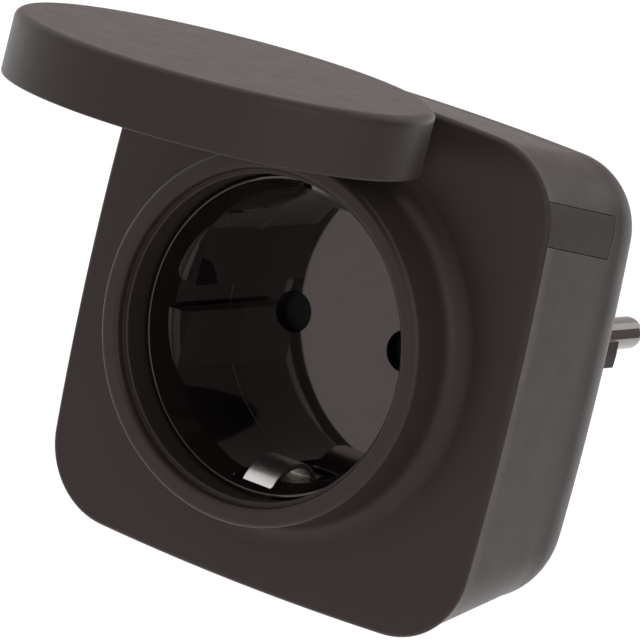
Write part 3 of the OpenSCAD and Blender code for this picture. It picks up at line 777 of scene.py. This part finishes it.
@dataclass
class FlipLid:
    """The round lid, its hinge barrel and its seal, modelled shut and then opened."""

    radius: float = 28.4
    inner_r: float = 26.2
    depth: float = 8.8
    top: float = 1.6
    edge: float = 1.2
    crown: float = 0.05
    opened: float = 92.3
    barrel_r: float = 1.9
    barrel_x: float = 8.7
    pin_bore: float = 0.85
    seal: tuple[float, float] = (23.2, 25.6)
    seal_t: float = 0.7
    groove: float = 0.6

    @property
    def face_y(self) -> float:
        """The outer face's depth when the lid is shut."""
        return LEVELS.hinge_y - self.depth

    def open(self, piece: bpy.types.Object) -> bpy.types.Object:
        """Turns a piece that was made shut about the hinge axis, in its mesh."""
        hub = Matrix.Translation((0, LEVELS.hinge_y * MM, LEVELS.hinge_z * MM))
        piece.data.transform(hub @ Matrix.Rotation(-math.radians(self.opened), 4, "X")
                             @ hub.inverted())
        return piece

    def cup(self) -> bpy.types.Object:
        """The lid's section turned round its axis, its face a shallow crown.

        The outer face falls away from its centre by crown * (r / radius) squared.
        """
        ceiling = self.face_y + self.top
        low, high = self.seal
        section, _ = rounded(
            [(self.radius, self.face_y), (self.radius, LEVELS.hinge_y),
             (self.inner_r, LEVELS.hinge_y), (self.inner_r, ceiling), (high, ceiling),
             (high, ceiling - self.groove), (low, ceiling - self.groove), (low, ceiling),
             (0.0, ceiling)],
            [self.edge, 0.35, 0.3, 0.3, 0.08, 0.05, 0.05, 0.08, 0], closed=False, steps=9)
        r = np.linspace(0, self.radius - self.edge * 1.2, 14)
        face = np.stack([r, np.full_like(r, self.face_y)], -1)
        corner, _ = rounded([(self.radius - 3, self.face_y), (self.radius, self.face_y),
                             (self.radius, LEVELS.hinge_y)], [0, self.edge, 0],
                            closed=False, steps=9)
        profile = np.vstack([face[:-1], corner[1:-1], section[1:]])
        fall = np.clip(profile[:, 0] / self.radius, 0, 1) ** 2
        near = np.clip((self.face_y + 3 - profile[:, 1]) / 3, 0, 1)
        outside = np.arange(len(profile)) < len(face) + len(corner)
        profile[:, 1] += self.crown * fall * near * outside
        return mesh_object("lid_cup", [lathe(profile, 240)], ends=False)

    def build(self, wardrobe: Wardrobe) -> None:
        """Makes the lid, its barrel and its seal."""
        lv, r = LEVELS, self.barrel_r
        lid = self.cup()
        points, normals = rounded(
            [(lv.hinge_y - r, lv.hinge_z + r), (lv.hinge_y - r, 26.4), (lv.hinge_y, 26.4),
             (lv.hinge_y + r, lv.hinge_z - r), (lv.hinge_y + r, lv.hinge_z + r)],
            [r * 0.98, 0.3, 0.3, r * 0.9, r * 0.98], steps=12)
        barrel = bar("barrel", outlined(points, -normals), -self.barrel_x, self.barrel_x, 0.3, "x")
        combined(lid, barrel, Union.JOIN)
        combined(lid, hinge_bore(self.pin_bore), Union.CUT)
        lid.name = "lid_shell"
        wardrobe.place(self.open(lid), "lid_plastic", Body.LID, "flip_lid")
        low, high = self.seal
        bottom = self.face_y + self.top - self.groove
        section, _ = rounded([(low, bottom), (low, bottom + self.seal_t),
                              (high, bottom + self.seal_t), (high, bottom)],
                             [0.1, 0.3, 0.3, 0.1], steps=6)
        seal = mesh_object("lid_seal_ring", [lathe(section, 192)], wrap=True)
        wardrobe.place(self.open(seal), "gasket_rubber", Body.LID, "lid_seal")


@dataclass
class SideButton:
    """The long flush button on the right side, a patch of the housing's own skin."""

    height: float = 5.9
    length: float = 21.8
    thickness: float = 1.8
    front_gap: float = 0.12
    gap: float = 0.07
    edge: float = 0.12
    z: float = 25.9
    slope: float = 1.22
    stem_r: float = 1.3
    stem: tuple[float, float] = (29.0, 33.5)
    stem_y: float = -47.0
    stem_drop: float = 2.6
    lead_in: float = 1.3
    slot_x: tuple[float, float] = (27.75, 40.0)
    housing: RearHousing = field(default_factory=RearHousing)

    @property
    def tilt(self) -> float:
        """The button's tilt, so that it follows the side's draft."""
        return math.atan(math.tan(math.radians(self.housing.draft)) * self.slope)

    @property
    def start(self) -> float:
        """Depth of the button's front end, which runs along the seam."""
        return LEVELS.housing_y + self.front_gap

    def skin_x(self, y: Array, z: Array) -> Array:
        """The housing's x at (y, z): the side's bow, or the corner's arc above its start."""
        inset = self.housing.inset_at(y)
        half = self.housing.half - inset
        radius = self.housing.corner - self.housing.fade * inset
        cx, cz = SQUARE.corner(half, half, radius)
        side = half - SQUARE.bow + np.sqrt(SQUARE.bow ** 2 - z ** 2)
        corner = cx + np.sqrt(np.maximum(radius ** 2 - (z - cz) ** 2, 0))
        start = SQUARE.bow * np.sin(np.arctan2(cz, cx - half + SQUARE.bow))
        return np.where(z > start, corner, side)

    def place(self, along: Array, across: Array) -> tuple[Array, Array]:
        """Turns distances along and across the button into (y, z).

        The lean of the ends, across * sin(tilt), grows from nothing at the front end, so that
        the front end follows the seam and the rear end stands square to the button.
        """
        c, s = math.cos(self.tilt), math.sin(self.tilt)
        lean = across * s * np.clip(along / self.length, 0, 1)
        return self.start + along * c + lean, self.z - along * s + across * c

    def patch(self) -> bpy.types.Object:
        """A sheet over the skin whose border rounds off, then walls and a flat back.

        The drop near the border is edge - sqrt(edge squared - q squared), where q is how far the
        point lies inside the border's rounding, along and across together.
        """
        rim = self.edge * (1 - np.cos(np.linspace(0, QUARTER, 6)))

        def spread(total: float, middle: int) -> Array:
            """Distances from end to end, closer together near both ends."""
            inside = np.linspace(self.edge * 1.3, total - self.edge * 1.3, middle)
            return np.concatenate([[0], rim, inside, (total - rim)[::-1], [total]])

        u, v = spread(self.length, 40), spread(self.height, 14) - self.height / 2
        grid_u, grid_v = np.meshgrid(u, v, indexing="ij")
        du = np.minimum(grid_u, self.length - grid_u)
        dv = self.height / 2 - np.abs(grid_v)
        q = np.hypot(np.maximum(self.edge - du, 0), np.maximum(self.edge - dv, 0))
        drop = self.edge - np.sqrt(np.maximum(self.edge ** 2 - q ** 2, 0))
        y, z = self.place(grid_u, grid_v)
        top = np.stack([self.skin_x(y, z) - drop, y, z], -1)
        top[[0, -1], :, 0] = (self.skin_x(y, z) - self.thickness)[[0, -1]]
        top[:, [0, -1], 0] = (self.skin_x(y, z) - self.thickness)[:, [0, -1]]
        back = np.stack([self.skin_x(y, z) - self.thickness, y, z], -1)
        return sheets_object("button_cap", [top, back])

    def slot(self) -> bpy.types.Object:
        """The tool that cuts the slot: the button's outline grown by its gap, open in front."""
        high, end = self.height / 2 + self.gap, self.length + self.gap
        front = -self.lead_in
        corners = [(front, -high), (end, -high), (end, high), (front, high)]
        points, _ = rounded(corners, [0.02, 0.3, 0.3, 0.02], steps=4)
        y, z = self.place(points[:, 0], points[:, 1])
        grid = np.stack([np.stack([np.full_like(y, x), y, z], -1) for x in self.slot_x])
        return mesh_object("slot", [grid])

    def build(self, wardrobe: Wardrobe) -> None:
        """Makes the cap with its stem."""
        cap = self.patch()
        at = (self.stem_y, self.z - self.stem_drop)
        stem = bar("stem", round_bar(self.stem_r, at), *self.stem, 0.15, "x")
        combined(cap, stem, Union.JOIN)
        wardrobe.place(cap, "button_plastic", Body.BUTTON, "side_button")


def sheets_object(name: str, sheets: Sequence[Array]) -> bpy.types.Object:
    """A closed mesh of open grids (rows, columns, 3) that share their borders."""
    points, faces, start = [], [], 0
    for sheet in sheets:
        rows, columns = sheet.shape[:2]
        i, j = np.arange(rows - 1)[:, None], np.arange(columns - 1)[None]
        quads = np.stack([i * columns + j, i * columns + j + 1, (i + 1) * columns + j + 1,
                          (i + 1) * columns + j], -1)
        faces += (quads.reshape(-1, 4) + start).tolist()
        points.append(sheet.reshape(-1, 3))
        start += rows * columns
    mesh = bpy.data.meshes.new(name)
    mesh.from_pydata((np.vstack(points) * MM).tolist(), [], faces)
    return finished(bpy.data.objects.new(name, mesh))


@dataclass
class Socket:
    """The recess insert and the earth springs that stand in its slots."""

    radius: float = 22.0
    recess_r: float = 20.2
    rim: float = 1.4
    flat_y: float = -57.4
    flat_x: float = 17.5
    groove_x: float = 20.3
    groove_w: float = 4.3
    hole_x: float = 9.5
    hole_r: float = 2.95
    flange_r: float = 27.0
    flange_t: float = 1.5
    screw_r: float = 24.6
    screw_hole: float = 1.1
    slot_half: float = 3.2
    slot_y: float = -60.0
    segment_r: float = 20.9
    spring_end: float = -15.6
    spring_travel: float = 6.6

    def bowl(self) -> bpy.types.Object:
        """The insert's section, from the middle of the recess floor, turned round the axis."""
        lv = LEVELS
        section, _ = rounded(
            [(0.0, lv.floor_y), (self.recess_r, lv.floor_y), (self.recess_r, self.flat_y),
             (self.recess_r + self.rim, lv.insert_y), (self.radius, lv.insert_y),
             (self.radius, lv.plate_back), (self.flange_r, lv.plate_back),
             (self.flange_r, lv.plate_back + self.flange_t),
             (self.radius, lv.plate_back + self.flange_t), (self.radius, lv.insert_back),
             (0.0, lv.insert_back)],
            [0, 0.06, 3.0, 0.15, 0.1, 0.05, 0.15, 0.15, 0.05, 0.15, 0], closed=False, steps=7)
        return mesh_object("insert", [lathe(section, 240)], ends=False)

    def flat(self, side: int) -> bpy.types.Object:
        """One of the recess's two flats with its groove: a segment of a circle with a notch."""
        half, end = self.groove_w / 2, math.acos(self.flat_x / self.segment_r)
        t = np.linspace(-end, end, 33)
        arc = self.segment_r * np.stack([np.cos(t), np.sin(t)], -1)
        notch, _ = rounded([(self.flat_x, half), (self.groove_x, half), (self.groove_x, -half),
                            (self.flat_x, -half)], [0.25, 0.2, 0.2, 0.25], steps=5)
        loop = np.vstack([arc, notch]) * np.array([side, 1])
        return mesh_object("flat", [along_y(np.stack([loop, loop]),
                                            np.array([self.flat_y, LEVELS.floor_y + 0.5]))])

    def cutters(self) -> list[bpy.types.Object]:
        """The tools that cut the pin holes, the spring slots and the screw holes."""
        lv, tools = LEVELS, []
        for side in (-1, 1):
            tools.append(bar("pin_hole", round_bar(self.hole_r, (side * self.hole_x, 0), 96),
                             lv.floor_y - 1, lv.insert_back + 1, 0.02))
            low, high = sorted((side * (self.recess_r - 0.3), side * (self.radius + 1)))
            corners, normals = rounded([(-self.slot_half, low), (self.slot_half, low),
                                        (self.slot_half, high), (-self.slot_half, high)],
                                       [0.02] * 4, steps=2)
            tools.append(bar("spring_slot", outlined(corners, normals), self.slot_y,
                             lv.insert_back + 1, 0.02))
            for other in (-1, 1):
                at = (side * self.screw_r / math.sqrt(2), other * self.screw_r / math.sqrt(2))
                tools.append(bar("screw_hole", round_bar(self.screw_hole, at, 32),
                                 lv.plate_back - 1, lv.plate_back + self.flange_t + 1, 0.02))
        return tools

    def build(self, wardrobe: Wardrobe) -> None:
        """Makes the insert and rounds the springs' edges."""
        insert = self.bowl()
        for side in (-1, 1):
            combined(insert, self.flat(side), Union.JOIN, sharp=20)
        for tool in self.cutters():
            combined(insert, tool, Union.CUT, sharp=20)
        insert.name = "recess_insert"
        wardrobe.place(insert, "socket_plastic", Body.BASE, "socket_insert")
        springs = softened("earth_bracket", 0.12)
        wardrobe.place(springs, "earth_metal", Body.BASE, "earth_bracket")
        self.spring(wardrobe)

    def spring(self, wardrobe: Wardrobe) -> None:
        """The shutter's spring, its lower end fixed: a copy of the CAD node with rounded edges, on
        a mesh of its own.
        """
        coil = softened("shutter_spring", 0.02)
        wardrobe.place(coil, "spring_steel", Body.BASE, "shutter_spring")
        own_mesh(coil)


@dataclass
class Plug:
    """The plug boss with its two pins."""

    pin_r: float = 2.4
    pin_l: float = 19.0
    pitch: float = 19.0
    tip: float = 2.35

    def build(self, wardrobe: Wardrobe) -> None:
        """Rounds the boss and turns the pins."""
        base = softened("plug_base", 0.35)
        wardrobe.place(base, "plug_plastic", Body.BASE, "plug_base")
        section, _ = rounded(
            [(0.0, -24.2), (1.5, -24.2), (1.5, -17.5), (3.4, -17.5), (3.4, -15.9), (2.2, -15.9),
             (2.2, 0.0), (self.pin_r, 0.0), (self.pin_r, self.pin_l), (0.0, self.pin_l)],
            [0, 0.2, 0.05, 0.15, 0.15, 0.05, 0.02, 0.02, self.tip, 0], closed=False, steps=14)
        for side, name in ((-1, "left"), (1, "right")):
            grid = lathe(section, 96) + np.array([side * self.pitch / 2, 0, 0])
            pin = mesh_object(f"pin_{name}", [grid], ends=False)
            wardrobe.place(pin, "pin_metal", Body.BASE, f"plug_pin_{name}")


# ---- Studio -------------------------------------------------------------------------------


@dataclass
class Studio:
    """Camera, pale floor, two dark cards and soft lights, in metres and watts."""

    right: tuple[float, float, float] = (0.8069, 0.5476, 0.2215)
    up: tuple[float, float, float] = (-0.2905, 0.0413, 0.9560)
    forward: tuple[float, float, float] = (-0.5143, 0.8357, -0.1924)
    place: tuple[float, float, float] = (0.4243, -0.7412, 0.1607)
    lens: float = 337.5
    floor_z: float = -0.30
    floor_half: float = 15.0
    floor_glow: float = 0.12
    world: float = 1.05
    matt_roughness: float = 0.9

    def camera(self) -> None:
        """The camera, from its own three axes."""
        data = bpy.data.cameras.new("camera")
        data.lens, data.sensor_width, data.sensor_fit = self.lens, 36.0, "HORIZONTAL"
        data.clip_start, data.clip_end = 0.01, 100.0
        eye = bpy.data.objects.new("camera", data)
        axes = Matrix((self.right, self.up, [-v for v in self.forward])).transposed()
        eye.matrix_world = Matrix.Translation(self.place) @ axes.to_4x4()
        bpy.context.scene.collection.objects.link(eye)
        bpy.context.scene.camera = eye

    def softbox(self, name: str, place: tuple[float, float, float], size: tuple[float, float],
                power: float, target: tuple[float, float, float] = (0, -0.04, 0)) -> None:
        """A rectangular lamp that faces the target."""
        data = bpy.data.lights.new(name, "AREA")
        data.shape, data.size, data.size_y = "RECTANGLE", *size
        data.energy = power
        lamp = bpy.data.objects.new(name, data)
        lamp.location = place
        way = Matrix.Translation(target).translation - Matrix.Translation(place).translation
        lamp.rotation_mode = "QUATERNION"
        lamp.rotation_quaternion = way.to_track_quat("-Z", "Y")
        bpy.context.scene.collection.objects.link(lamp)

    def matt(self, name: str, shade: Sequence[float], light: Sequence[float], size_mm: float,
             specular: float) -> Graph:
        """A matt paper whose tone drifts between two shades over about size_mm."""
        graph = Graph(name)
        graph.shader.inputs["Roughness"].default_value = self.matt_roughness
        graph.shader.inputs["Specular IOR Level"].default_value = specular
        drift = graph.ranged(graph.noise(size_mm, 2.0), 0, 1)
        graph.join(graph.blend(drift, shade, light), "Base Color")
        return graph

    def card(self, name: str, place: tuple[float, float, float], size: tuple[float, float],
             shade: tuple[float, float, float]) -> None:
        """A card that dims the light from behind it and that no camera sees.

        Args:
            name: the card's name.
            place: its middle, in metres; it faces the origin.
            size: its width and height in metres.
            shade: its darker linear colour.
        """
        half_w, half_h = (v / 2 / MM for v in size)
        sheet = np.array([[[-half_w, -half_h, 0], [half_w, -half_h, 0]],
                          [[-half_w, half_h, 0], [half_w, half_h, 0]]])
        card = sheets_object(name, [sheet])
        way = -Matrix.Translation(place).translation
        card.rotation_mode = "QUATERNION"
        card.rotation_quaternion = way.to_track_quat("Z", "Y")
        card.location = place
        graph = self.matt(name, shade, [v * 1.04 for v in shade], 200.0, 0.05)
        card.data.materials.append(graph.material)
        card.visible_camera = False

    def floor(self) -> None:
        """A wide pale floor that glows faintly, so that it stays white under the cards."""
        grid = np.array([[[-1, -1, 0], [1, -1, 0]], [[-1, 1, 0], [1, 1, 0]]], float)
        grid *= self.floor_half / MM
        grid[..., 2] = self.floor_z / MM
        floor = sheets_object("floor", [grid])
        graph = self.matt("floor_paper", (0.93,) * 3, (0.95,) * 3, 900.0, 0.1)
        graph.shader.inputs["Emission Color"].default_value = (1, 1, 1, 1)
        graph.shader.inputs["Emission Strength"].default_value = self.floor_glow
        floor.data.materials.append(graph.material)

    def build(self) -> None:
        """Sets up the whole studio."""
        self.camera()
        self.card("back_card", (-0.62, 1.0, 0.42), (1.3, 0.8), (0.58, 0.52, 0.51))
        self.card("side_card", (0.95, 1.05, 0.0), (1.1, 1.1), (0.20, 0.165, 0.16))
        self.floor()
        world = bpy.data.worlds.new("studio")
        world.use_nodes = True
        back = world.node_tree.nodes["Background"].inputs
        back["Color"].default_value = (1, 1, 1, 1)
        back["Strength"].default_value = self.world
        bpy.context.scene.world = world
        self.softbox("top", (-0.3, 0.1, 1.2), (1.2, 1.2), 2.5)
        self.softbox("right", (1.3, -0.4, 0.5), (0.8, 1.2), 3.0)
        settings = bpy.context.scene.view_settings
        settings.view_transform = "Standard"
        settings.look = "None"


def main() -> None:
    """Builds every sub-assembly in order."""
    logging.basicConfig(level=logging.INFO, format="%(message)s", force=True)
    wardrobe = Wardrobe()
    wardrobe.dress_nodes(frame["record"]["subparts"])
    button = SideButton()
    FrontCover().build(wardrobe)
    RearHousing().build(wardrobe, button.slot())
    FlipLid().build(wardrobe)
    button.build(wardrobe)
    Socket().build(wardrobe)
    Plug().build(wardrobe)
    Studio().build()


if __name__ == "__main__":
    main()
